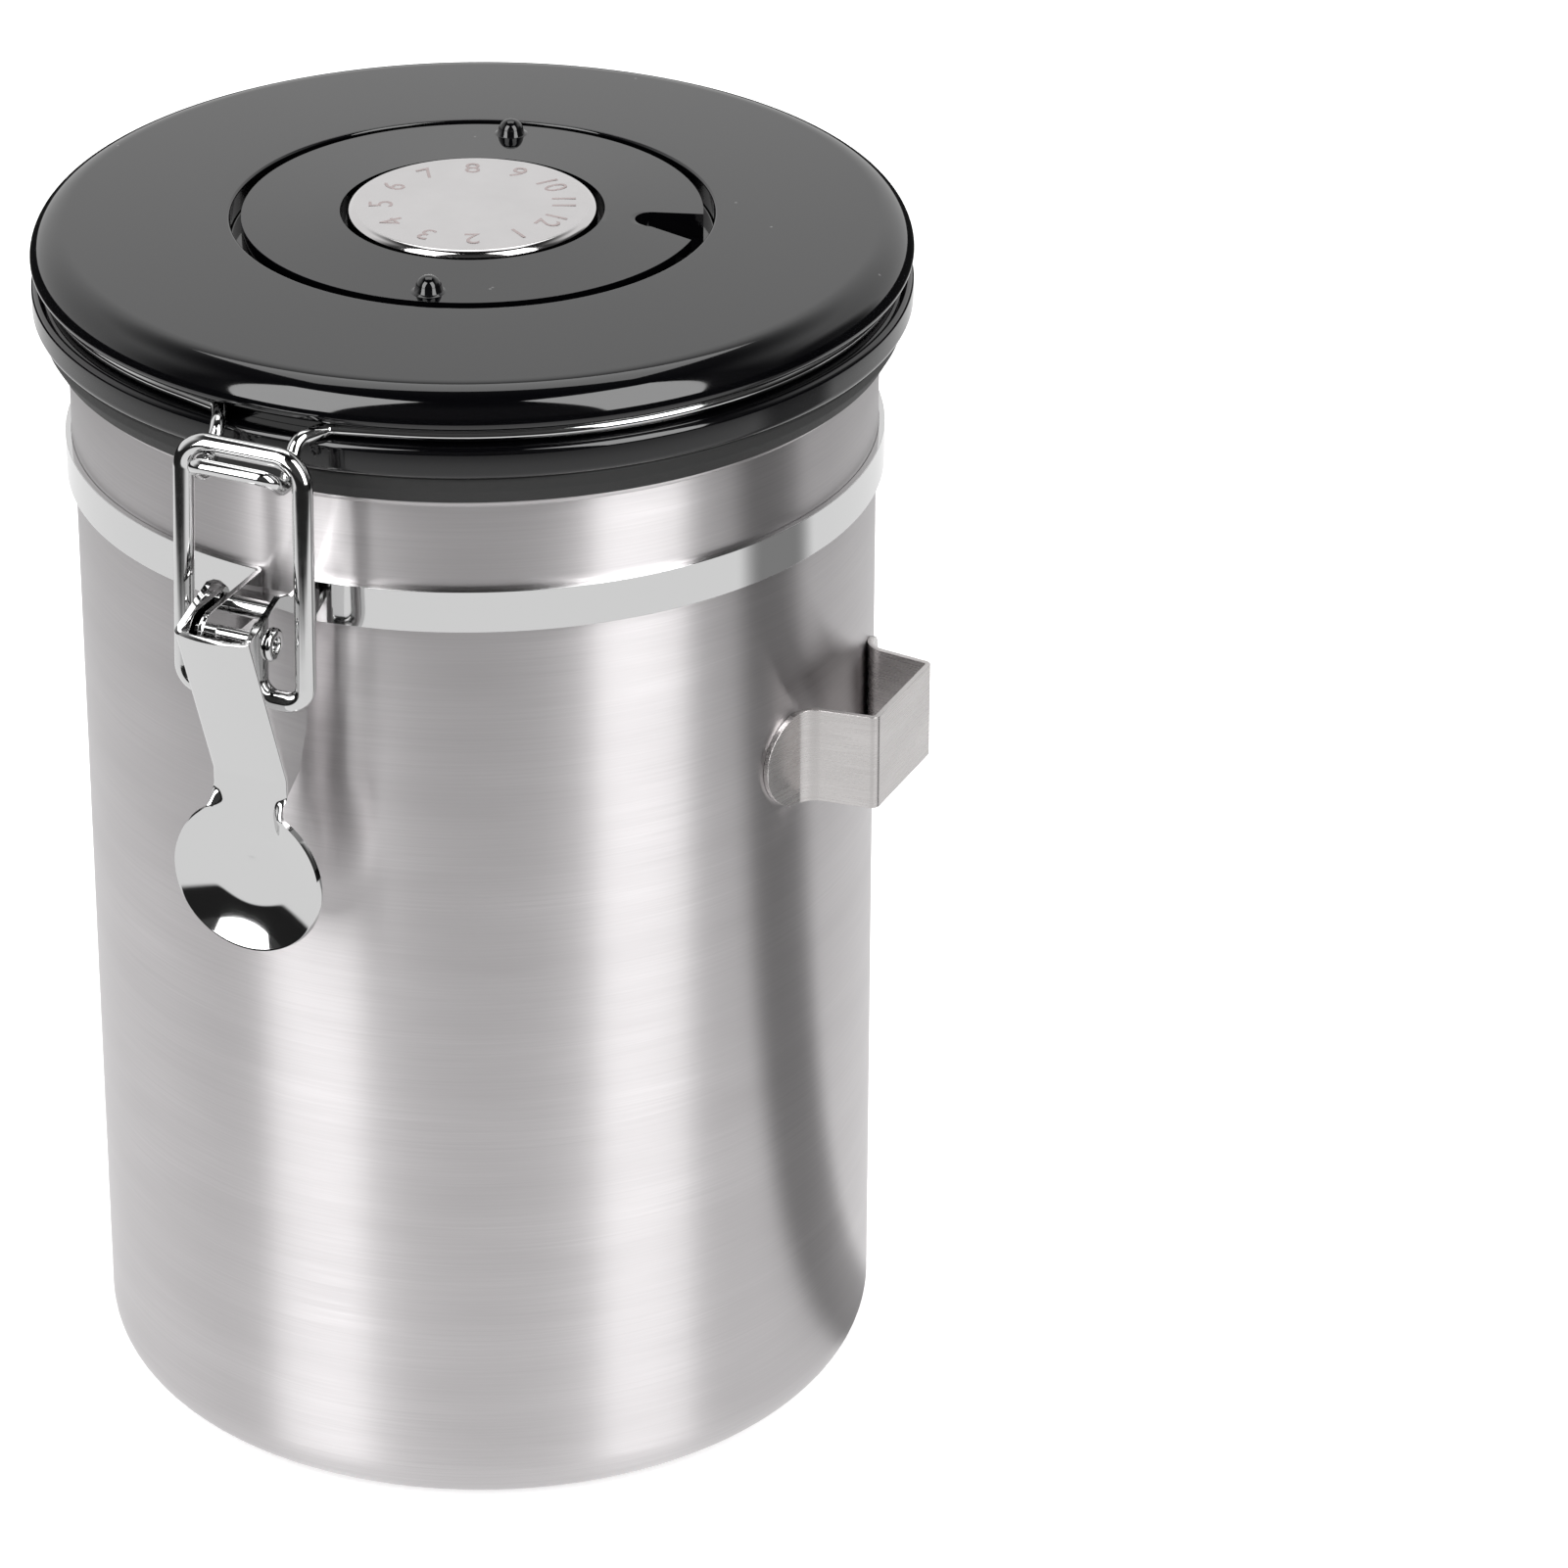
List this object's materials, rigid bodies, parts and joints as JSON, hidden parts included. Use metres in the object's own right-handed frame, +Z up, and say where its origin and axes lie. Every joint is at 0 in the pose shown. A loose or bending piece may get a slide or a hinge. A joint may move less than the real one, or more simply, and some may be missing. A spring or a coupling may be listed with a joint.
{
  "type": "coffee canister",
  "caption": "Tall round steel food canister with a wire-latched black lid on a rear hinge, a vent valve, a dial with a turning date ring and a side slot for a scoop.",
  "frame": {"origin": "centre of the flat base, at the height of the table", "axes": "+Z up along the can's axis; -Y towards the latch; +Y towards the lid hinge; +X towards the scoop holder"},
  "size_m": [0.1358, 0.1561, 0.1914],
  "materials": {
    "can_steel": "brushed round the can",
    "latch_steel": "mirror polished",
    "holder_steel": "satin",
    "dial_steel": "fine satin with a polished edge",
    "lid_plastic": "high gloss black",
    "gasket_rubber": "matte black",
    "valve_plastic": "matte black",
    "flap_rubber": "soft translucent grey",
    "filter_felt": "pale felt"
  },
  "bodies": {
    "can": {"can_shell": "can_steel", "clamp_band": "latch_steel", "clamp_spacer": "latch_steel", "clamp_tie": "latch_steel", "lever_rivet": "latch_steel", "hinge_bracket": "latch_steel", "hinge_rivets": "latch_steel", "scoop_holder": "holder_steel"},
    "lid": {"lid_cover": "lid_plastic", "lid_base": "lid_plastic", "lid_gasket": "gasket_rubber", "bail_wire": "latch_steel", "dial_core": "valve_plastic", "dial_cap": "dial_steel", "valve_body": "valve_plastic", "valve_cap": "valve_plastic", "valve_filter": "filter_felt", "valve_screen": "valve_plastic"},
    "lever": {"latch_lever": "latch_steel"},
    "link": {"link_wire": "latch_steel"},
    "ring": {"date_ring": "lid_plastic"},
    "flap": {"valve_flap": "flap_rubber"}
  },
  "joints": [
    {"name": "lid_hinge", "type": "hinge", "parent": "can", "child": "lid", "pos_m": [0, 0.0696, 0.1716], "axis": [-1, 0, 0], "range_deg": [0, 105]},
    {"name": "lever_pivot", "type": "hinge", "parent": "can", "child": "lever", "pos_m": [0, -0.076, 0.1528], "axis": [-1, 0, 0], "range_deg": [0, 110]},
    {"name": "link_pivot", "type": "hinge", "parent": "lever", "child": "link", "pos_m": [0, -0.0736, 0.1428], "axis": [-1, 0, 0], "range_deg": [-82, 0]},
    {"name": "date_ring_turn", "type": "hinge", "parent": "lid", "child": "ring", "pos_m": [0, 0, 0.1868], "axis": [0, 0, 1], "continuous": true},
    {"name": "valve_lift", "type": "slide", "parent": "lid", "child": "flap", "axis": [0, 0, 1], "range_m": [0, 0.0008]}
  ],
  "couplings": [
    {"joint": "link_pivot", "follows": "lever_pivot", "ratio": -0.745}
  ]
}
